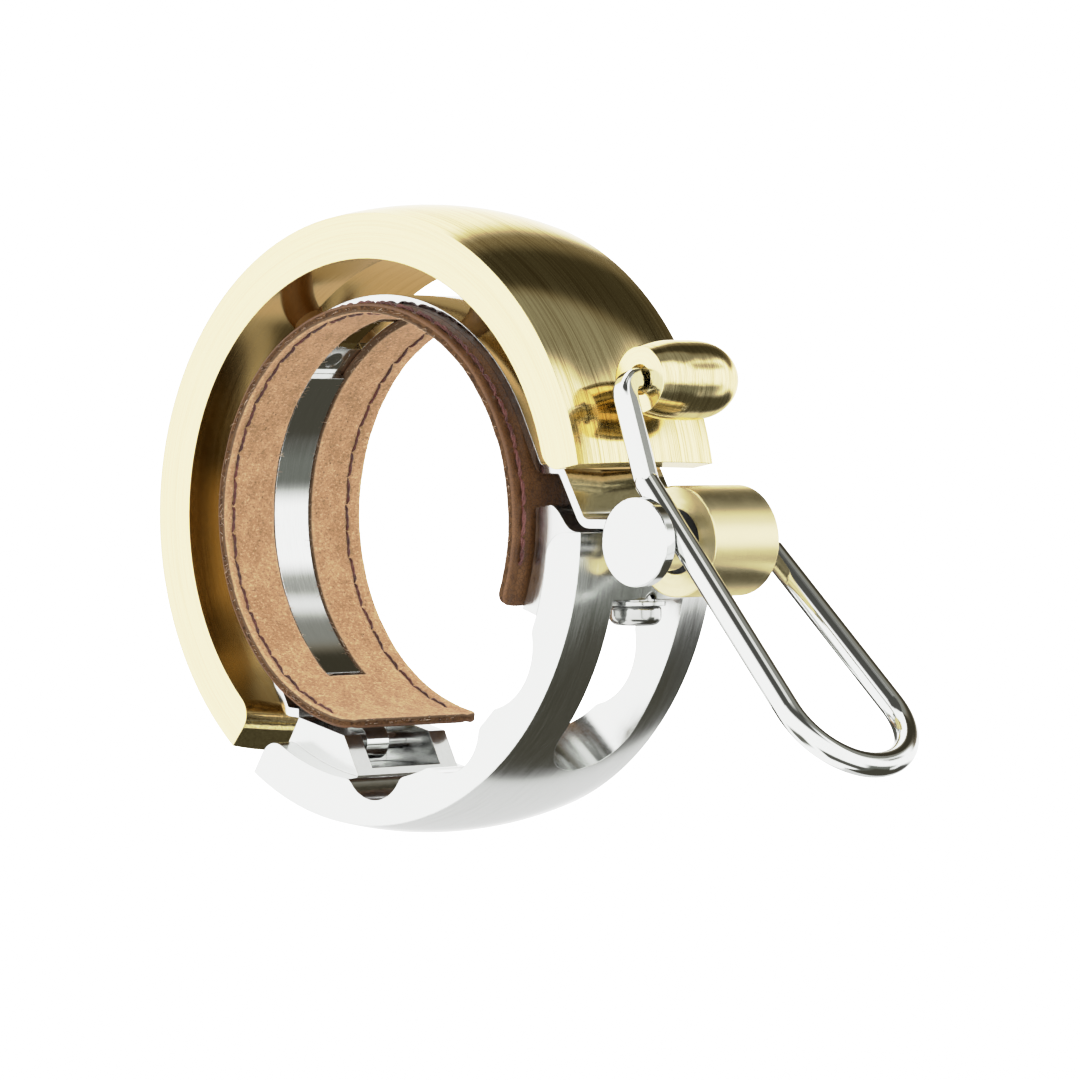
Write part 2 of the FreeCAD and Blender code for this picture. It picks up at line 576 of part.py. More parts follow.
def hammer():
    """Barrel-shaped brass head turned about an axis along Y, flat in front and egg-round behind."""
    front, rear = HAMMER_FRONT, HAMMER_FRONT + HAMMER_L
    belly = front + HAMMER_L * HAMMER_BELLY
    face_edge = V(HAMMER_FACE_R, front, 0)
    top = V(HAMMER_R, belly, 0)
    rear_shoulder = V(HAMMER_R * HAMMER_SHOULDER, rear - HAMMER_L * HAMMER_SHOULDER_BACK, 0)
    nose = V(0, rear, 0)
    curve = Part.BSplineCurve()
    curve.interpolate([face_edge, top, rear_shoulder, nose],
                      Tangents=[V(0.25, 1, 0), V(0, 1, 0), V(-0.55, 1, 0), V(-1, 0, 0)],
                      TangentFlags=[True, True, True, True])
    outline = [curve.toShape(), Part.makeLine(nose, V(0, front, 0)), Part.makeLine(V(0, front, 0), face_edge)]
    head = Part.Face(Part.Wire(outline)).revolve(ORIGIN, ALONG_Y, 360)
    head.translate(V(HAMMER_X, 0, HAMMER_Z))
    hole = rod_y(HAMMER_X, HAMMER_Z, HAMMER_HOLE_R, front - 1, front + HAMMER_HOLE_DEPTH)
    socket = rod_y(HAMMER_X, HAMMER_Z, ARM_SIDE / 2, front - 1, front + HAMMER_L * PEG_DEPTH)
    return head.cut(hole).cut(socket)


# ---- write every piece ---------------------------------------------------------------------------

def build():
    band = clamp_band()
    pieces = {
        "bell_ring": bell_ring(),
        "clamp_band": band,
        "leather_liner": leather_liner(),
        "stitching_front": stitching(STITCH_FRONT_Y),
        "stitching_rear": stitching(STITCH_REAR_Y),
        "clamp_nut": clamp_nut(band),
        "cradle": cradle(),
        "cradle_hinge_pin": cradle_hinge_pin(),
        "screw_washer": screw_washer(),
        "clamp_screw": clamp_screw(),
        "pivot_barrel": pivot_barrel(band),
        "pivot_pin": pivot_pin(),
        "retaining_clip": retaining_clip(),
        "front_bush": bush(BARREL_FRONT + BUSH_SET_BACK),
        "rear_bush": bush(BARREL_REAR - BUSH_SET_BACK - BUSH_L),
        "torsion_spring": torsion_spring(),
        "lever_hub": lever_hub(),
        "rear_collar": rear_collar(),
        "striker_wire": striker_wire(),
        "hammer": hammer(),
    }
    for place, angle in STUD_ANGLES.items():
        pieces["ring_stud_" + place] = ring_stud(angle)
        pieces["ring_grommet_" + place] = ring_grommet(angle)
    return pieces


os.makedirs("parts", exist_ok=True)
for name, shape in build().items():
    if not shape.isValid():
        print(name, "is not a valid solid")
    print(name, len(shape.Solids), "solid(s)", round(shape.Volume, 2), "mm3")
    shape.exportStep("parts/" + name + ".step")
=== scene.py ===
import json
import math
import random

import bpy
import numpy as np
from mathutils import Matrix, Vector, noise


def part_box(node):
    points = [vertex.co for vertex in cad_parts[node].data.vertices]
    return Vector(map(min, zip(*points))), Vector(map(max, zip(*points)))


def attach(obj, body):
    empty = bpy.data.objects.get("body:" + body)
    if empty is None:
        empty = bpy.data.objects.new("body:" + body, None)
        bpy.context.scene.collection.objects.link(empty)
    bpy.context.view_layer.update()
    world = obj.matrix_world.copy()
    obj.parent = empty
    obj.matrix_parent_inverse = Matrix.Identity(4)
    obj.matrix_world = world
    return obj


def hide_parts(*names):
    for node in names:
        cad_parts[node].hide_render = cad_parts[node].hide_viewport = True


# The looks of a clamp-on bicycle bell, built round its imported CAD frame.  Metres, +Z up, and the
# handlebar's axis is the Y axis.  Lengths written in millimetres are multiplied by MM.

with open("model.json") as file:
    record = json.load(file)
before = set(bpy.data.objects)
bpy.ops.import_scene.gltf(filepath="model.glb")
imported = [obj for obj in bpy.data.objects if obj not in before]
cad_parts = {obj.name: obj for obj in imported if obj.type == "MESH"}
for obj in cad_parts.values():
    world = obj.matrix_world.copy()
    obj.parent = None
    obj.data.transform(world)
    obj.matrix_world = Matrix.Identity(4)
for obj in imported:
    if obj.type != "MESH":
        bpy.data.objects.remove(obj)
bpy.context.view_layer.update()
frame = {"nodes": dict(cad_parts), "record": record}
MM = 0.001
random.seed(8)

# ---- sizes read from the frame -------------------------------------------------------------------

MOUNT = frame["record"]["mounts"][0]["dims"]
BAR_R = MOUNT["r_mm"] * MM
LEATHER_HALF_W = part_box("leather_liner")[1].y
LEATHER_OUT_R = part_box("leather_liner")[1].z
LEATHER_T = LEATHER_OUT_R - BAR_R
HAMMER_LOW, HAMMER_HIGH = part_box("hammer")
HAMMER_X = (HAMMER_LOW.x + HAMMER_HIGH.x) / 2
HAMMER_Z = (HAMMER_LOW.z + HAMMER_HIGH.z) / 2
PIVOT_LOW, PIVOT_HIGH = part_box("pivot_barrel")
PIVOT_X = (PIVOT_LOW.x + PIVOT_HIGH.x) / 2
PIVOT_Z = (PIVOT_LOW.z + PIVOT_HIGH.z) / 2

# ---- the leather strap's own dimensions ----------------------------------------------------------

# Angles round the bar start at +X and turn towards +Z.  On the flat strap, s is the distance along
# it from its start and y is across it, as in the frame.

STRAP_START, STRAP_END = math.radians(-23.5), math.radians(263)
SLOT_START, SLOT_END = math.radians(103), math.radians(233)
MID_R = (BAR_R + LEATHER_OUT_R) / 2
STRAP_LENGTH = (STRAP_END - STRAP_START) * MID_R
SLOT_S0, SLOT_S1 = (SLOT_START - STRAP_START) * MID_R, (SLOT_END - STRAP_START) * MID_R
SLOT_HALF_W = 2.0 * MM
CORNER_R = 1.1 * MM
EDGE_ROUND = 0.22 * MM          # rounding of the leather's cut edges
STITCH_ROWS = {"front": -6.5 * MM, "rear": 6.0 * MM}
STITCH_PITCH = 2.2 * MM
STITCH_LENGTH = 1.98 * MM       # from a stitch's first hole to its second
STITCH_FREE = 1.3 * MM          # left free at each end of a row


# ---- node tree helper ----------------------------------------------------------------------------

class Tree:
    """Short calls for a node tree.  A value is a number, a tuple or another node's output."""

    def __init__(self, tree):
        self.tree = tree
        tree.nodes.clear()

    def add(self, kind, inputs=None, out=0, **settings):
        node = self.tree.nodes.new(kind)
        for key, value in settings.items():
            setattr(node, key, value)
        for key, value in (inputs or {}).items():
            if isinstance(value, bpy.types.NodeSocket):
                self.tree.links.new(value, node.inputs[key])
            else:
                node.inputs[key].default_value = value
        return node.outputs[out] if node.outputs else None

    def math(self, operation, a, b=0.0):
        return self.add("ShaderNodeMath", {0: a, 1: b}, operation=operation)

    def times(self, a, b):
        return self.math("MULTIPLY", a, b)

    def vector(self, operation, a, b=(0, 0, 0)):
        return self.add("ShaderNodeVectorMath", {0: a, 1: b}, operation=operation)

    def scaled(self, vector, by):
        return self.add("ShaderNodeVectorMath", {0: vector, "Scale": by}, operation="SCALE")

    def dot(self, a, b):
        return self.add("ShaderNodeVectorMath", {0: a, 1: b}, out=1, operation="DOT_PRODUCT")

    def length(self, a):
        return self.add("ShaderNodeVectorMath", {0: a}, out=1, operation="LENGTH")

    def split(self, vector):
        return list(self.add("ShaderNodeSeparateXYZ", {0: vector}).node.outputs)

    def join(self, x, y, z):
        return self.add("ShaderNodeCombineXYZ", {0: x, 1: y, 2: z})

    def remap(self, value, low, high, to_low=0.0, to_high=1.0):
        return self.add("ShaderNodeMapRange", {0: value, 1: low, 2: high, 3: to_low, 4: to_high},
                        interpolation_type="SMOOTHSTEP")

    def mix(self, share, a, b):
        """Colour b over colour a, which lets share of b show."""
        return self.add("ShaderNodeMix", {0: share, 6: a, 7: b}, out=2, data_type="RGBA")

    def noise(self, vector, scale, detail=3.0, roughness=0.5, w=None):
        inputs = {"Vector": vector, "Scale": scale, "Detail": detail, "Roughness": roughness}
        if w is None:
            return self.add("ShaderNodeTexNoise", inputs)
        inputs["W"] = w
        return self.add("ShaderNodeTexNoise", inputs, noise_dimensions="4D")

    def cells(self, vector, scale, feature="F1"):
        return self.add("ShaderNodeTexVoronoi", {"Vector": vector, "Scale": scale}, feature=feature)

    def here(self):
        """The place on the object, in its own coordinates."""
        return self.add("ShaderNodeTexCoord", out=3)

    def facing(self):
        """The surface's normal there, in the same coordinates."""
        return self.add("ShaderNodeTexCoord", out=1)

    def rim(self):
        """The strap's own measure of how near a cut edge is, 1 at the edge."""
        return self.add("ShaderNodeAttribute", out=2, attribute_name="rim")

    def bump(self, height, distance, normal=None):
        inputs = {"Height": height, "Distance": distance}
        if normal is not None:
            inputs["Normal"] = normal
        return self.add("ShaderNodeBump", inputs)

    def round_axis(self, spot):
        """The distance from the Y axis, and the direction away from it."""
        flat = self.vector("MULTIPLY", spot, (1, 0, 1))
        return self.length(flat), self.vector("NORMALIZE", flat)

    def ropes(self, spot, turns, across, detail, roughness, along=None):
        """Noise in long thin streaks that run round the Y axis.

        The higher turns is, the shorter they are.  Across is how many lie side by side in a metre
        of radius, and along, by default the same, how many in a metre of Y.
        """
        radius, outward = self.round_axis(spot)
        x, _, z = self.split(outward)
        place = self.join(self.times(x, turns), self.times(self.split(spot)[1], along or across),
                          self.times(z, turns))
        return self.noise(place, 1.0, detail, roughness, w=self.times(radius, across))


def rgb(red, green, blue):
    return (red, green, blue, 1.0)


def new_material(name):
    material = bpy.data.materials.new(name)
    material.use_nodes = True
    return material, Tree(material.node_tree)


def finish_material(tree, inputs):
    shader = tree.add("ShaderNodeBsdfPrincipled", inputs)
    tree.add("ShaderNodeOutputMaterial", {"Surface": shader})


# ---- metals --------------------------------------------------------------------------------------

METAL_ROUND = 0.11 * MM     # sharp metal edges shine as if rounded by this much
BEVEL_SAMPLES = 6


def metal_normal(t, height, depth):
    """Fine relief, over normals that turn a little at every sharp edge."""
    edges = t.add("ShaderNodeBevel", {"Radius": METAL_ROUND}, samples=BEVEL_SAMPLES)
    return t.bump(height, depth, normal=edges)


def turned_tint(t, spot, lines, colour, worn, contrast, inside, inner):
    """Darker streaks, which are faint on faces square to the axis, and a painted shade on the side
    that faces it.
    """
    outward = t.round_axis(spot)[1]
    end_face = t.remap(t.math("ABSOLUTE", t.split(t.facing())[1]), 0.75, 0.96)
    streaked = t.remap(end_face, 0, 1, contrast, contrast * 0.2)
    stains = t.remap(t.noise(spot, 220.0, 3.0, 0.55), 0.66, 0.84, 0.0, 0.12)
    # Painted shade: faces that look back at the axis turn towards the inner colour, as if the
    # ring's bore lay in shade.
    inward_shade = t.remap(t.dot(t.facing(), outward), -0.35, -0.8)
    tint = t.mix(t.times(t.remap(lines, 0.56, 0.38), streaked), rgb(*colour), rgb(*worn))
    tint = t.mix(stains, tint, rgb(*worn))
    return t.mix(t.times(inward_shade, 1 - inside), tint, rgb(*(inner or worn)))


def turned_metal(name, colour, worn, axis=(0, 0, 0), roughness=0.2, anisotropy=0.7, line=0.12 * MM,
                 streak=9.0, depth=0.0006 * MM, contrast=0.35, inside=1.0, inner=None,
                 edge=(1, 1, 1)):
    """Metal brushed or turned round a line along Y through axis.

    Line is the width of a streak and depth its relief.  Inside is how much of the colour is left on
    faces that look back at the line, under a painted shade of inner, and edge tints what is seen
    edge on.
    """
    material, t = new_material(name)
    spot = t.vector("SUBTRACT", t.here(), axis)
    hair = t.ropes(spot, streak, 1.0 / line, 3.0, 0.6)
    broad = t.ropes(spot, streak * 0.35, 1.0 / (line * 4), 2.0, 0.6)
    lines = t.math("ADD", t.times(hair, 0.7), t.times(broad, 0.3))

    around = t.vector("CROSS_PRODUCT", t.round_axis(spot)[1], (0, 1, 0))
    around = t.add("ShaderNodeVectorTransform", {0: around}, vector_type="VECTOR",
                   convert_from="OBJECT", convert_to="WORLD")
    normal = t.add("ShaderNodeNewGeometry", out=1)
    finish_material(t, {
        "Base Color": turned_tint(t, spot, lines, colour, worn, contrast, inside, inner),
        "Metallic": 1.0, "Anisotropic": anisotropy, "Specular Tint": rgb(*edge),
        "Roughness": t.remap(lines, 0.3, 0.7, roughness * 0.75, roughness * 1.3),
        "Tangent": t.vector("CROSS_PRODUCT", normal, around),
        "Normal": metal_normal(t, lines, depth)})
    return material


def plain_metal(name, colour, worn, roughness=0.3, grain=900.0, depth=0.002 * MM):
    """Unbrushed metal with a fine even grain and faint stains."""
    material, t = new_material(name)
    spot = t.here()
    speckle = t.noise(spot, grain, 4.0, 0.6)
    cloud = t.noise(spot, grain * 0.2, 3.0, 0.5)
    tint = t.mix(t.remap(cloud, 0.45, 0.75), rgb(*colour), rgb(*worn))
    finish_material(t, {
        "Base Color": tint, "Metallic": 1.0,
        "Roughness": t.remap(speckle, 0.3, 0.7, roughness * 0.75, roughness * 1.3),
        "Normal": metal_normal(t, speckle, depth)})
    return material


def moulded(name, colour, highlight, roughness, grain=1400.0):
    """Rubber or nylon with a fine moulded texture."""
    material, t = new_material(name)
    spot = t.here()
    speckle = t.noise(spot, grain, 3.0, 0.6)
    cloud = t.noise(spot, grain * 0.25, 2.0, 0.5)
    finish_material(t, {
        "Base Color": t.mix(t.remap(cloud, 0.35, 0.7), rgb(*colour), rgb(*highlight)),
        "Roughness": t.remap(speckle, 0.3, 0.7, roughness * 0.85, roughness * 1.15),
        "Normal": t.bump(speckle, 0.004 * MM)})
    return material


# ---- leather and thread --------------------------------------------------------------------------

SUEDE_DEEP, SUEDE_PALE = (0.365, 0.225, 0.112), (0.475, 0.315, 0.175)
SUEDE_DARK_SPECK, SUEDE_LIGHT_SPECK = (0.19, 0.105, 0.045), (0.66, 0.50, 0.33)


def suede():
    """The flesh side: sandy tan with fine dark and pale specks, a fibrous nap and a soft sheen."""
    material, t = new_material("suede")
    spot = t.here()
    clouds = t.noise(spot, 500.0, 4.0, 0.65)
    fibres = t.noise(t.vector("MULTIPLY", spot, (1.0, 0.6, 1.0)), 5600.0, 4.0, 0.85)
    colour = t.mix(t.remap(clouds, 0.34, 0.68), rgb(*SUEDE_DEEP), rgb(*SUEDE_PALE))
    colour = t.mix(t.remap(fibres, 0.48, 0.34, 0.0, 0.8), colour, rgb(*SUEDE_DARK_SPECK))
    colour = t.mix(t.remap(fibres, 0.52, 0.66, 0.0, 0.8), colour, rgb(*SUEDE_LIGHT_SPECK))
    seldom = t.times(t.remap(t.cells(spot, 2600.0), 0.26, 0.1),
                     t.remap(t.noise(spot, 1600.0), 0.52, 0.64))
    colour = t.mix(t.times(seldom, 0.75), colour, rgb(0.10, 0.05, 0.022))
    colour = t.mix(t.remap(t.rim(), 0.1, 0.5, 0.0, 0.2), colour, rgb(*SUEDE_LIGHT_SPECK))
    colour = t.mix(t.remap(t.rim(), 0.62, 0.9, 0.0, 0.85), colour, rgb(0.06, 0.03, 0.015))
    height = t.math("ADD", t.times(fibres, 0.7), t.times(clouds, 0.4))
    finish_material(t, {
        "Base Color": colour,
        "Roughness": t.remap(fibres, 0.3, 0.7, 0.82, 0.98), "Specular IOR Level": 0.15,
        "Sheen Weight": 0.15, "Sheen Roughness": 0.45, "Sheen Tint": rgb(0.95, 0.78, 0.62),
        "Normal": t.bump(height, 0.045 * MM)})
    return material


def smooth_leather():
    """The grain side: warm orange-brown with pores, creases and rubbed high spots."""
    material, t = new_material("smooth_leather")
    spot = t.here()
    wander = t.add("ShaderNodeTexNoise", {"Vector": spot, "Scale": 900.0}, out=1)
    bent = t.vector("ADD", spot, t.scaled(wander, 0.3 * MM))
    pebbles = t.cells(bent, 3300.0, "DISTANCE_TO_EDGE")
    pores = t.cells(bent, 2100.0)
    clouds = t.noise(spot, 300.0, 4.0, 0.6)
    colour = t.mix(t.remap(clouds, 0.35, 0.68), rgb(0.11, 0.046, 0.014), rgb(0.18, 0.082, 0.028))
    colour = t.mix(t.remap(pebbles, 0.12, 0.0, 0.0, 0.6), colour, rgb(0.04, 0.016, 0.008))
    colour = t.mix(t.times(t.rim(), 0.4), colour, rgb(0.20, 0.095, 0.045))
    height = t.math("ADD", t.remap(pebbles, 0.0, 0.16), t.times(t.remap(pores, 0.05, 0.2), 0.5))
    finish_material(t, {
        "Base Color": colour,
        "Roughness": t.remap(clouds, 0.3, 0.7, 0.42, 0.6), "Specular IOR Level": 0.35,
        "Normal": t.bump(height, 0.012 * MM)})
    return material


def cut_edge():
    """The cut edge: dark, ropy layers running along the strap with pale broken fibres."""
    material, t = new_material("leather_edge")
    spot = t.here()
    layers = t.ropes(spot, 45.0, 6500.0, 4.0, 0.7, along=7000.0)
    grain = t.noise(spot, 2600.0, 4.0, 0.7)
    both = t.math("ADD", t.times(layers, 0.55), t.times(grain, 0.45))
    colour = t.mix(t.remap(both, 0.38, 0.58), rgb(0.03, 0.013, 0.005), rgb(0.125, 0.06, 0.024))
    colour = t.mix(t.remap(both, 0.56, 0.7, 0.0, 0.5), colour, rgb(0.27, 0.155, 0.075))
    finish_material(t, {
        "Base Color": colour,
        "Roughness": t.remap(both, 0.3, 0.7, 0.7, 0.95), "Specular IOR Level": 0.12,
        "Sheen Weight": 0.08, "Sheen Roughness": 0.5, "Sheen Tint": rgb(0.9, 0.7, 0.5),
        "Normal": t.bump(both, 0.09 * MM)})
    return material


def waxed_thread(name, dark, light, shine):
    """Twisted thread with a waxy shine and paler broken fibres, whose pale flecks are partly a
    painted highlight.
    """
    material, t = new_material(name)
    spot = t.here()
    fibre = t.noise(spot, 9000.0, 3.0, 0.6)
    clouds = t.noise(spot, 700.0, 2.0, 0.5)
    colour = t.mix(t.remap(clouds, 0.35, 0.68), rgb(*dark), rgb(*light))
    # Pale pinkish flecks: partly the thread's own broken fibres, partly a painted highlight, as
    # strong as shine says.
    colour = t.mix(t.remap(fibre, 0.58, 0.76, 0.0, shine), colour, rgb(0.55, 0.30, 0.25))
    finish_material(t, {
        "Base Color": colour, "Roughness": t.remap(fibre, 0.3, 0.7, 0.3, 0.5),
        "Sheen Weight": 0.25, "Sheen Roughness": 0.4, "Sheen Tint": rgb(0.9, 0.55, 0.5),
        "Normal": t.bump(fibre, 0.02 * MM)})
    return material


def loose_fibre():
    """Single fibres of leather, from tan to nearly white."""
    material, t = new_material("loose_fibre")
    tone = t.noise(t.here(), 800.0, 2.0, 0.5)
    colour = t.mix(t.remap(tone, 0.38, 0.64), rgb(0.42, 0.25, 0.15), rgb(0.82, 0.66, 0.48))
    finish_material(t, {
        "Base Color": colour,
        "Roughness": t.remap(tone, 0.3, 0.7, 0.7, 0.95),
        "Sheen Weight": 0.4, "Sheen Roughness": 0.4})
    return material


# ---- mesh helpers --------------------------------------------------------------------------------

def mesh_object(name, points, faces, materials, face_slots=None):
    """A smooth-shaded mesh.  Face_slots says which of the materials each face has."""
    mesh = bpy.data.meshes.new(name)
    mesh.from_pydata([tuple(p) for p in points], [], [tuple(f) for f in faces])
    for material in materials:
        mesh.materials.append(material)
    if face_slots is not None:
        mesh.polygons.foreach_set("material_index", np.array(face_slots, np.int32))
    mesh.polygons.foreach_set("use_smooth", np.full(len(faces), True))
    mesh.update()
    piece = bpy.data.objects.new(name, mesh)
    bpy.context.scene.collection.objects.link(piece)
    return piece


class Soup:
    """Collects the points and faces of many small tubes for one mesh."""

    def __init__(self):
        self.points = []
        self.faces = []
        self.slots = []

    def tube(self, path, radii, sides=6, slot=0):
        """Adds a closed tube along path, given as an array of points, with one radius a point."""
        path = np.asarray(path, float)
        along = np.gradient(path, axis=0)
        along /= np.linalg.norm(along, axis=1)[:, None]
        side = np.cross(along[0], (0.31, 0.87, 0.38))
        first = len(self.points)
        for point, way, radius in zip(path, along, radii):
            side = side - way * (side @ way)
            side /= np.linalg.norm(side)
            other = np.cross(way, side)
            for k in range(sides):
                a = 2 * math.pi * k / sides
                self.points.append(point + radius * (math.cos(a) * side + math.sin(a) * other))
        for i in range(len(path) - 1):
            for k in range(sides):
                a, b = first + i * sides + k, first + i * sides + (k + 1) % sides
                self.faces.append((a, b, b + sides, a + sides))
        last = first + (len(path) - 1) * sides
        self.faces.append(tuple(first + k for k in reversed(range(sides))))
        self.faces.append(tuple(last + k for k in range(sides)))
        self.slots += [slot] * (len(self.faces) - len(self.slots))


def on_bar(angle, radius, y):
    """A point at an angle round the handlebar's axis."""
    return np.array((radius * math.cos(angle), y, radius * math.sin(angle)))


# ---- leather strap -------------------------------------------------------------------------------

GRID = 0.24 * MM                           # the usual cell of the strap's mesh
EDGE_STEPS = (0.03, 0.08, 0.15, 0.25)      # extra grid lines this many millimetres from a cut edge
GROOVE_W, GROOVE_DEPTH = 0.27 * MM, 0.10 * MM     # the thread pulls a groove into the leather
HOLE_W, HOLE_DEPTH = 0.24 * MM, 0.16 * MM         # and a dimple at each of its holes


def graded(low, high):
    """Grid lines from low to high, closer together beside both ends.  All are metres."""
    inner = np.linspace(low, high, int((high - low) / GRID) + 1)
    close = [low + d * MM for d in EDGE_STEPS] + [high - d * MM for d in EDGE_STEPS]
    margin = EDGE_STEPS[-1] * MM * 1.4
    kept = [v for v in inner if low + margin < v < high - margin]
    return sorted([low, high] + close + kept)


def grid_lines(*stops):
    """Grid lines from the first stop to the last, closer together beside each stop."""
    lines = [stops[0]]
    for low, high in zip(stops, stops[1:]):
        lines += graded(low, high)[1:]
    return lines


def stitch_holes():
    """The distance along the strap of each stitch's two holes."""
    count = int((STRAP_LENGTH - 2 * STITCH_FREE) / STITCH_PITCH)
    first = (STRAP_LENGTH - count * STITCH_PITCH) / 2
    starts = [first + i * STITCH_PITCH for i in range(count)]
    return [(start, start + STITCH_LENGTH) for start in starts]


def in_slot(s, y):
    """Whether a place on the flat strap is in the slot that is cut out of it."""
    return SLOT_S0 < s < SLOT_S1 and abs(y) < SLOT_HALF_W


def edge_distance(s, y):
    """How far a place on the strap is from the nearest cut edge."""
    outside = min(LEATHER_HALF_W - abs(y), s, STRAP_LENGTH - s)
    from_slot = math.hypot(max(SLOT_S0 - s, 0, s - SLOT_S1), max(abs(y) - SLOT_HALF_W, 0))
    return max(min(outside, from_slot), 0)


def round_corner(s, y):
    """Moves a place in one of the strap's four corner squares so that the corner is round."""
    from_end = min(s, STRAP_LENGTH - s)
    from_side = LEATHER_HALF_W - abs(y)
    a, b = 1 - from_side / CORNER_R, 1 - from_end / CORNER_R
    if a <= 0 or b <= 0:
        return s, y
    shrink = max(a, b) / math.hypot(a, b)
    end = (1 - b * shrink) * CORNER_R
    side = (1 - a * shrink) * CORNER_R
    s = end if s < STRAP_LENGTH / 2 else STRAP_LENGTH - end
    return s, math.copysign(LEATHER_HALF_W - side, y)


def thread_pull(s, y, holes):
    """How far the thread pulls the leather in, with a dimple at each hole."""
    depth = 0.0
    for row in STITCH_ROWS.values():
        across = (y - row) / GROOVE_W
        if abs(across) > 3:
            continue
        depth += GROOVE_DEPTH * math.exp(-across * across)
        along = min(abs(s - hole) for pair in holes for hole in pair) / HOLE_W
        depth += HOLE_DEPTH * math.exp(-along * along - across * across * 1.2)
    return depth


def lumps(s, y, per_metre, layer):
    """Smooth random relief on the flat strap, from -1 to 1.  Each layer is another pattern."""
    return noise.noise(Vector((s * per_metre, y * per_metre, layer)))


def strap_points(s, y, holes):
    """The strap's inner and outer point at a grid place, and how near the cut edge is, up to 1."""
    away = edge_distance(s, y)
    s, y = round_corner(s, y)
    close = max(0.0, 1 - away / (1.2 * MM))
    waver_s = lumps(s, y, 480, 9) * 0.05 * MM * close
    waver_y = lumps(s, y, 480, 0) * 0.07 * MM * close
    s, y = s + waver_s, y + waver_y

    turn = max(0.0, EDGE_ROUND - away)
    rounding = EDGE_ROUND - math.sqrt(max(EDGE_ROUND ** 2 - turn ** 2, 0))
    pull = thread_pull(s, y, holes)
    ripple = lumps(s, y, 260, 4) * 0.03 * MM
    nap = lumps(s, y, 1900, 2) * 0.02 * MM
    fray = lumps(s, y, 2600, 6) * 0.03 * MM * max(0.0, 1 - away / (0.3 * MM))
    low = BAR_R + rounding + pull * 0.8 + max(ripple + nap, -0.01 * MM) + fray
    high = LEATHER_OUT_R - rounding - pull - max(ripple, 0) - abs(fray) * 0.5
    angle = STRAP_START + s / MID_R
    return on_bar(angle, low, y), on_bar(angle, high, y), math.exp(-away / (0.25 * MM))


def strap_faces(lines_s, lines_y, index):
    """Both faces of the strap, and the edges of the inner one's outline and slot."""
    faces, edges = [], {}
    for i in range(len(lines_s) - 1):
        for j in range(len(lines_y) - 1):
            if in_slot((lines_s[i] + lines_s[i + 1]) / 2, (lines_y[j] + lines_y[j + 1]) / 2):
                continue
            a, b, c, d = index[i, j], index[i + 1, j], index[i + 1, j + 1], index[i, j + 1]
            faces += [(a, d, c, b), (a + 1, b + 1, c + 1, d + 1)]
            for p, q in ((a, b), (b, c), (c, d), (d, a)):
                if (q, p) in edges:
                    del edges[q, p]
                else:
                    edges[p, q] = True
    return faces, edges


def leather_strap(materials):
    """The strap's mesh.  Each point of its outer face follows its partner on the inner one."""
    lines_s = grid_lines(0, SLOT_S0, SLOT_S1, STRAP_LENGTH)
    lines_y = grid_lines(-LEATHER_HALF_W, -SLOT_HALF_W, SLOT_HALF_W, LEATHER_HALF_W)
    holes = stitch_holes()
    points, rim, index = [], [], {}
    for i, s in enumerate(lines_s):
        for j, y in enumerate(lines_y):
            if in_slot(s, y):
                continue
            index[i, j] = len(points)
            low, high, near = strap_points(s, y, holes)
            points += [low, high]
            rim += [near, near]
    faces, edges = strap_faces(lines_s, lines_y, index)
    slots = [0, 1] * (len(faces) // 2)
    wall_cut_edge(points, rim, faces, slots, edges)

    piece = mesh_object("leather_strap", points, faces, materials, slots)
    shares = piece.data.attributes.new("rim", "FLOAT", "POINT")
    shares.data.foreach_set("value", np.array(rim, np.float32))
    return piece


def on_slot_wall(point):
    """Whether a point of a cut edge belongs to the slot and not to the strap's outline."""
    margin = 0.3 * MM
    angle = math.atan2(point[2], point[0]) % (2 * math.pi)
    beside = SLOT_START < angle + margin / MID_R < SLOT_END + 2 * margin / MID_R
    return beside and abs(point[1]) < SLOT_HALF_W + margin


def wall_cut_edge(points, rim, faces, slots, edges):
    """Joins the strap's two faces along its cut edges, with two bulging rows of points between.

    The slot's walls look like the suede, and only the strap's outline shows the dark ropy layers.
    """
    rows = {}
    following = {p: q for p, q in edges}
    for p in sorted(following):
        low, high = points[p], points[p + 1]
        way, radial = points[following[p]] - low, high - low
        outward = np.cross(way, radial)
        outward /= np.linalg.norm(outward)
        added = []
        for share in (0.3, 0.7):
            wobble = noise.noise(Vector(low * 2500) + Vector((share * 7, 0, 0))) * 0.05 * MM
            added.append(len(points))
            points.append(low + radial * share + outward * (0.02 * MM + wobble))
            rim.append(1.0)
        rows[p] = [p] + added + [p + 1]
    for p, q in edges:
        slot = 0 if on_slot_wall(points[p]) else 2
        for lower, upper in zip(range(3), range(1, 4)):
            faces.append((rows[p][lower], rows[q][lower], rows[q][upper], rows[p][upper]))
            slots.append(slot)


# ---- loose fibres --------------------------------------------------------------------------------

FIBRES = {"side": 520, "slot": 330, "end": 60, "face": 330}     # how many stand out of each place
FIBRE_STEPS = 5


def fibre_root(kind):
    """Where a fibre starts on the flat strap, and which way along Y is out of the leather there."""
    hand = random.choice((-1, 1))
    if kind == "side":
        return random.uniform(0.03, 0.97) * STRAP_LENGTH, hand * LEATHER_HALF_W, hand
    if kind == "slot":
        return SLOT_S0 + random.random() * (SLOT_S1 - SLOT_S0), hand * SLOT_HALF_W, -hand
    if kind == "end":
        return random.choice((0, STRAP_LENGTH)), random.uniform(-0.75, 0.75) * LEATHER_HALF_W, 0
    s = random.uniform(0.03, 0.97) * STRAP_LENGTH
    return s, hand * random.uniform(SLOT_HALF_W * 1.2, LEATHER_HALF_W * 0.96), 0


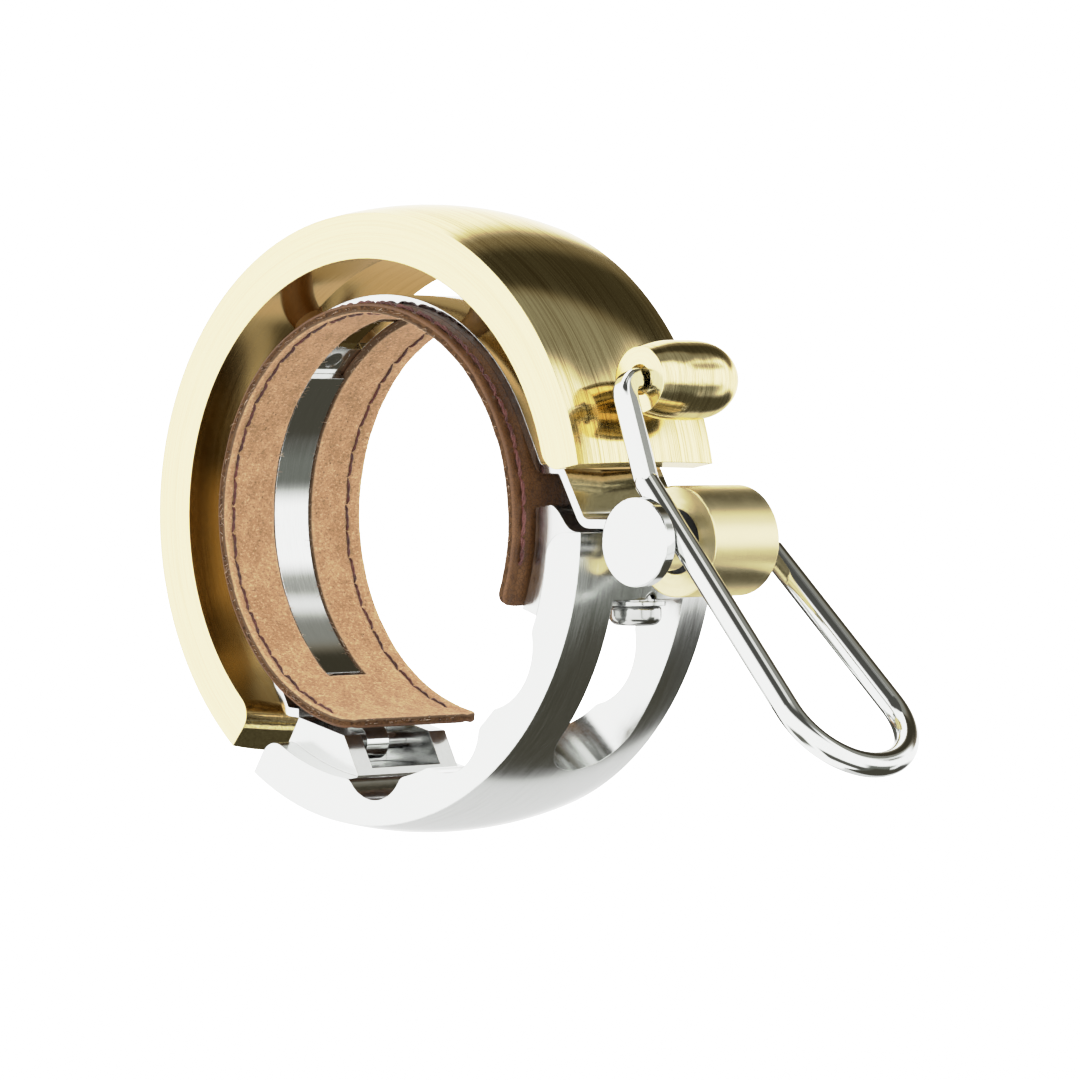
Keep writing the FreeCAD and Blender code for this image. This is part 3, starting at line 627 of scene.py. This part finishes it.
def fibre_way(kind, s, out, tangent, radial):
    """The direction in which a fibre leaves the leather."""
    lean = random.gauss(0, 0.8)
    if kind == "face":
        way = tangent * lean + np.array((0, random.gauss(0, 0.8), 0)) - radial * 0.18
    elif kind == "end":
        way = tangent * (1 if s else -1) + np.array((0, lean * 0.5, 0)) - radial * 0.2
    else:
        way = tangent * lean + np.array((0, out, 0)) - radial * random.uniform(-0.2, 0.5)
    return way / np.linalg.norm(way)


def add_fibre(soup, kind):
    """One fibre, which tapers and curls as it leaves the leather."""
    s, y, out = fibre_root(kind)
    angle = STRAP_START + s / MID_R
    radial, tangent = on_bar(angle, 1, 0), on_bar(angle + math.pi / 2, 1, 0)
    depth = 0.02 * MM if kind == "face" else random.uniform(0.05, 0.6) * LEATHER_T
    start = on_bar(angle, BAR_R + depth, y)
    length = random.uniform(0.15, 0.55) * MM * (0.7 if kind == "face" else 1.0)
    way = fibre_way(kind, s, out, tangent, radial)
    curl = np.cross(way, radial) * random.gauss(0, 0.7) - radial * random.uniform(0, 0.2)
    steps = np.linspace(0, 1, FIBRE_STEPS)[:, None]
    path = start - way * 0.05 * MM + length * (way * steps + curl * steps ** 2 * 0.5)
    thick = random.uniform(0.010, 0.020) * MM
    soup.tube(path, thick * (1.05 - steps[:, 0] * 0.75), sides=4)


def suede_fibres(material):
    """Short pale fibres that stand out of the flesh side and the cut edges."""
    soup = Soup()
    for kind, count in FIBRES.items():
        for _ in range(count):
            add_fibre(soup, kind)
    return mesh_object("suede_fibres", soup.points, soup.faces, [material])


# ---- stitches ------------------------------------------------------------------------------------

# For each face of the strap: a strand's radius, its distance from the bar's axis at its holes, how
# far it arches out from there, its shift along the strap, its extra length and how loose it is.
STITCH_FACES = (
    dict(strand_r=0.078 * MM, sunk_r=BAR_R + 0.26 * MM, arch=-0.24 * MM,
         shift=0, stretch=0, loose=1.4),
    dict(strand_r=0.1 * MM, sunk_r=LEATHER_OUT_R - 0.24 * MM, arch=0.30 * MM,
         shift=STITCH_PITCH * 0.5, stretch=0.06 * MM, loose=0.9),
)
STITCH_STEPS = 15


def stitch_path(face, s0, s1, y, slant, turns, phase):
    """One strand of a stitch, which twists and arches out of the leather between its two holes."""
    path = []
    for t in np.linspace(0, 1, STITCH_STEPS):
        risen = min(1.0, math.sin(math.pi * t) * 2.1)
        twist = phase + turns * 2 * math.pi * t
        lift = face["strand_r"] * 0.75 * math.cos(twist)
        sway = face["strand_r"] * 0.85 * math.sin(twist)
        angle = STRAP_START + (s0 + (s1 - s0) * (t * 1.06 - 0.03)) / MID_R
        radius = face["sunk_r"] + face["arch"] * risen + lift
        path.append(on_bar(angle, radius, y + slant * (2 * t - 1) + sway))
    return path


def stitch_row(name, y_row, materials):
    """One row of lock stitches: two twisted strands on both faces of the strap."""
    soup = Soup()
    for slot, face in enumerate(STITCH_FACES):
        for hole, next_hole in stitch_holes():
            if next_hole + face["shift"] > STRAP_LENGTH - STITCH_FREE:
                continue
            slant = random.uniform(-0.07, 0.07) * MM * face["loose"]
            y = y_row + random.uniform(-0.05, 0.05) * MM * face["loose"]
            turns, phase = random.uniform(1.0, 1.5), random.random() * 6.28
            s0 = hole + face["shift"] - face["stretch"]
            s1 = next_hole + face["shift"] + face["stretch"]
            for strand in (0, math.pi):
                path = stitch_path(face, s0, s1, y, slant, turns, phase + strand)
                soup.tube(path, [face["strand_r"]] * STITCH_STEPS, 7, slot)
    return mesh_object(name, soup.points, soup.faces, materials, soup.slots)


def make_soft_goods():
    strap = leather_strap([suede(), smooth_leather(), cut_edge()])
    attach(strap, "clamp")
    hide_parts("leather_liner")

    fibres = suede_fibres(loose_fibre())
    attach(fibres, "clamp")

    # The last number is the share of pale flecks, partly fibres and partly a painted highlight.
    threads = [waxed_thread("thread_inside", (0.05, 0.013, 0.010), (0.12, 0.028, 0.019), 0.3),
               waxed_thread("thread_outside", (0.085, 0.022, 0.018), (0.17, 0.05, 0.04), 0.6)]
    for place, y_row in STITCH_ROWS.items():
        row = stitch_row("thread_" + place, y_row, threads)
        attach(row, "clamp")
        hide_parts("stitching_" + place)


# ---- finishes of the CAD nodes -------------------------------------------------------------------

BRASS, BRASS_WORN = (0.80, 0.68, 0.38), (0.36, 0.255, 0.095)
# The first colour on the next line is a painted shade for the ring's inner faces, not a colour the
# brass has there.
BRASS_INSIDE_SHADE, BRASS_EDGE = (0.41, 0.25, 0.075), (0.93, 0.88, 0.72)
STEEL, STEEL_WORN = (0.68, 0.69, 0.68), (0.36, 0.36, 0.335)


def finish_nodes():
    """Puts a material of this script on every CAD node that is kept."""
    hammer_axis, pivot_axis = (HAMMER_X, 0, HAMMER_Z), (PIVOT_X, 0, PIVOT_Z)
    polished = dict(roughness=0.09, anisotropy=0.45, depth=0.00012 * MM, contrast=0.08)
    cast = dict(roughness=0.17, anisotropy=0.5, depth=0.00006 * MM, contrast=0.16)
    wire = dict(polished, roughness=0.06, anisotropy=0.0)
    finishes = {
        # The ring's inner faces keep only 15% of the brass colour, under a painted shade.
        turned_metal("ring_brass", BRASS, BRASS_WORN, roughness=0.12, anisotropy=0.6,
                     line=0.07 * MM, streak=2.6, depth=0.0006 * MM, contrast=0.75, inside=0.15,
                     inner=BRASS_INSIDE_SHADE, edge=BRASS_EDGE):
            ["bell_ring"],
        turned_metal("hammer_brass", BRASS, BRASS_WORN, hammer_axis, roughness=0.14,
                     anisotropy=0.65, line=0.07 * MM, streak=1.2, depth=0.0005 * MM,
                     contrast=0.6, edge=BRASS_EDGE):
            ["hammer"],
        turned_metal("satin_brass", (0.74, 0.64, 0.38), BRASS_WORN, pivot_axis, roughness=0.36,
                     anisotropy=0.2, line=0.05 * MM, streak=6.0, depth=0.0001 * MM,
                     contrast=0.06, edge=BRASS_EDGE):
            ["pivot_barrel"],
        turned_metal("band_steel", STEEL, STEEL_WORN, **polished):
            ["clamp_band"],
        turned_metal("cradle_steel", STEEL, STEEL_WORN, **cast):
            ["cradle"],
        turned_metal("pivot_steel", STEEL, STEEL_WORN, pivot_axis, streak=3.0, **polished):
            ["pivot_pin", "lever_hub", "rear_collar"],
        turned_metal("wire_steel", STEEL, STEEL_WORN, pivot_axis, **wire):
            ["striker_wire"],
        plain_metal("plain_steel", (0.56, 0.57, 0.56), (0.36, 0.36, 0.35), roughness=0.16):
            ["clamp_nut", "cradle_hinge_pin", "screw_washer", "clamp_screw", "retaining_clip",
             "ring_stud_top", "ring_stud_side"],
        plain_metal("spring_steel", (0.45, 0.46, 0.48), (0.25, 0.24, 0.24), roughness=0.3):
            ["torsion_spring"],
        moulded("dark_nylon", (0.012, 0.012, 0.013), (0.03, 0.03, 0.03), 0.55):
            ["front_bush", "rear_bush"],
        moulded("amber_rubber", (0.30, 0.15, 0.04), (0.45, 0.25, 0.08), 0.4):
            ["ring_grommet_top", "ring_grommet_side"],
    }
    for material, nodes in finishes.items():
        for name in nodes:
            for slot in frame["nodes"][name].material_slots:
                slot.material = material


# ---- studio --------------------------------------------------------------------------------------

def compass(azimuth, elevation):
    """A direction: azimuth 0 is +Y and 90 is +X, in degrees, and elevation is above the horizon."""
    a, e = math.radians(azimuth), math.radians(elevation)
    return Vector((math.sin(a) * math.cos(e), math.cos(a) * math.cos(e), math.sin(e)))


# Soft-edged cards on the sky: azimuth, half width, lowest and highest elevation, softness, all in
# degrees, and brightness.  Later cards hang in front of earlier ones.
ZENITH = 110
CARDS = {
    "overhead flag": (118, 82, 50, ZENITH, 6, (0.10, 0.10, 0.09)),
    "overhead strip": (85, 30, 61, 73, 4, (1.1, 1.1, 1.06)),
    "front flag": (140, 62, 38, 58, 6, (0.10, 0.10, 0.09)),
    "ceiling gap": (28, 24, 36, ZENITH, 5, (0.33, 0.33, 0.29)),
    "ceiling flag": (-11, 24, 15, ZENITH, 5, (0.26, 0.22, 0.15)),
    "ceiling core": (-8, 17, 26, ZENITH, 5, (0.055, 0.048, 0.03)),
    "side strip": (36, 9, 21, 33, 4, (0.5, 0.5, 0.47)),
    "left wall flag": (-78, 20, -26, 24, 6, (0.12, 0.12, 0.10)),
    "floor glow": (-36, 24, -ZENITH, -14, 8, (0.95, 0.95, 0.94)),
    "right floor flag": (54, 20, -ZENITH, -9, 6, (0.22, 0.23, 0.20)),
    "rear floor flag": (5, 20, -ZENITH, -15, 6, (0.10, 0.10, 0.09)),
    "floor flag": (26, 38, -ZENITH, -27, 6, (0.085, 0.08, 0.06)),
    "low front flag": (112, 45, -62, -34, 6, (0.12, 0.12, 0.10)),
    "left edge flag": (-150, 26, -48, -26, 6, (0.20, 0.20, 0.17)),
}
SKY = (2.0, 2.0, 1.98)
WHITE = 3.0                       # brightness that the picture shows as pure white
BACKDROP = WHITE * 1.2            # what the camera sees behind the bell
SOFT_TOP, SOFT_LOW = 1.9, 1.35    # what the matt surfaces get from above and from below


def card_mask(t, direction, rise, card):
    """1 in the middle of a card, 0 beyond its soft edges."""
    azimuth, half_w, lowest, highest, soft = card
    forward, right = compass(azimuth, 0), compass(azimuth + 90, 0)
    turned = t.math("ARCTAN2", t.dot(direction, tuple(right)), t.dot(direction, tuple(forward)))
    raised = t.math("SUBTRACT", rise, math.radians((lowest + highest) / 2))
    masks = []
    for angle, half in ((turned, half_w), (raised, (highest - lowest) / 2)):
        inner, outer = math.radians(half - soft), math.radians(half + soft)
        masks.append(t.remap(t.math("ABSOLUTE", angle), inner, outer, 1.0, 0.0))
    return t.times(*masks)


def studio_sky():
    """Cards for the metals to mirror, an even light for matt surfaces and white for the camera."""
    world = bpy.data.worlds.new("studio")
    bpy.context.scene.world = world
    world.use_nodes = True
    t = Tree(world.node_tree)
    direction = t.add("ShaderNodeTexCoord", out=0)
    rise = t.math("ARCSINE", t.split(direction)[2])
    light = rgb(*SKY)
    for *card, level in CARDS.values():
        light = t.mix(card_mask(t, direction, rise, card), light, rgb(*level))
    rays = t.add("ShaderNodeLightPath").node.outputs
    soft = t.remap(rise, math.radians(-60), math.radians(60), SOFT_LOW, SOFT_TOP)
    light = t.mix(rays["Is Diffuse Ray"], light, t.join(soft, soft, soft))
    light = t.mix(rays["Is Camera Ray"], light, rgb(BACKDROP, BACKDROP, BACKDROP))
    t.add("ShaderNodeOutputWorld", {"Surface": t.add("ShaderNodeBackground", {0: light, 1: 1.0})})


# Brightness in the scene and what the picture shows for it, between black and WHITE.
SHOULDER = ((0.3, 0.3), (0.7, 0.68), (1.3, 0.87), (2.0, 0.955))


def set_tone():
    """A soft shoulder for the highlights: straight up to about 0.7, then bent to white at WHITE."""
    view = bpy.context.scene.view_settings
    view.view_transform = "Standard"
    view.use_curve_mapping = True
    mapping = view.curve_mapping
    mapping.white_level = (WHITE, WHITE, WHITE)
    mapping.extend = "HORIZONTAL"
    curve = mapping.curves[3]         # the one for all three colours together
    for bright, shown in SHOULDER:
        curve.points.new(bright / WHITE, shown)
    for point in curve.points:
        point.handle_type = "AUTO_CLAMPED"
    mapping.update()


FLOOR_Z, FLOOR_R = -0.065, 2.2
FLOOR_RINGS, FLOOR_SIDES = 6, 64
FLOOR_GLOW = 3.2


def make_floor():
    """A pale floor well below the bell, which hangs in the air as if on its handlebar."""
    points, faces = [(0, 0, FLOOR_Z)], []
    for i in range(1, FLOOR_RINGS + 1):
        radius = FLOOR_R * i / FLOOR_RINGS
        for k in range(FLOOR_SIDES):
            a = 2 * math.pi * k / FLOOR_SIDES
            points.append((radius * math.cos(a), radius * math.sin(a), FLOOR_Z))
    for k in range(FLOOR_SIDES):
        a, b = 1 + k, 1 + (k + 1) % FLOOR_SIDES
        faces.append((0, a, b))
        for _ in range(FLOOR_RINGS - 1):
            faces.append((a, a + FLOOR_SIDES, b + FLOOR_SIDES, b))
            a, b = a + FLOOR_SIDES, b + FLOOR_SIDES
    material, t = new_material("pale_floor")
    speckle = t.noise(t.here(), 60.0, 3.0, 0.5)
    finish_material(t, {
        "Base Color": t.mix(speckle, rgb(0.93, 0.93, 0.93), rgb(0.96, 0.96, 0.96)),
        "Roughness": 0.9, "Specular IOR Level": 0.1,
        "Emission Color": rgb(1, 1, 1), "Emission Strength": FLOOR_GLOW})
    floor = mesh_object("floor", points, faces, [material])
    floor.visible_glossy = False
    floor.visible_diffuse = False


CAMERA_AZIMUTH, CAMERA_ELEVATION = 180 - 44.55, 1.15      # where it stands, as compass has it
CAMERA_DISTANCE = 0.45
CAMERA_RIGHT, CAMERA_DOWN = 8.58 * MM, 1.85 * MM          # the picture's middle, off the bar's axis
LENS, SENSOR_W = 190.5, 36                                # both in real millimetres


def make_camera():
    """The photographer's place: a long lens, 45 degrees round to the right, just above the bar."""
    back, right = compass(CAMERA_AZIMUTH, CAMERA_ELEVATION), compass(CAMERA_AZIMUTH - 90, 0)
    up = back.cross(right)
    camera = bpy.data.objects.new("camera", bpy.data.cameras.new("camera"))
    camera.data.lens, camera.data.sensor_width = LENS, SENSOR_W
    camera.data.clip_start, camera.data.clip_end = 0.01, 10
    camera.location = back * CAMERA_DISTANCE + right * CAMERA_RIGHT - up * CAMERA_DOWN
    camera.rotation_mode = "QUATERNION"
    camera.rotation_quaternion = (-back).to_track_quat("-Z", "Y")
    bpy.context.scene.collection.objects.link(camera)
    bpy.context.scene.camera = camera


make_soft_goods()
finish_nodes()
studio_sky()
make_floor()
make_camera()
set_tone()

bpy.context.view_layer.update()
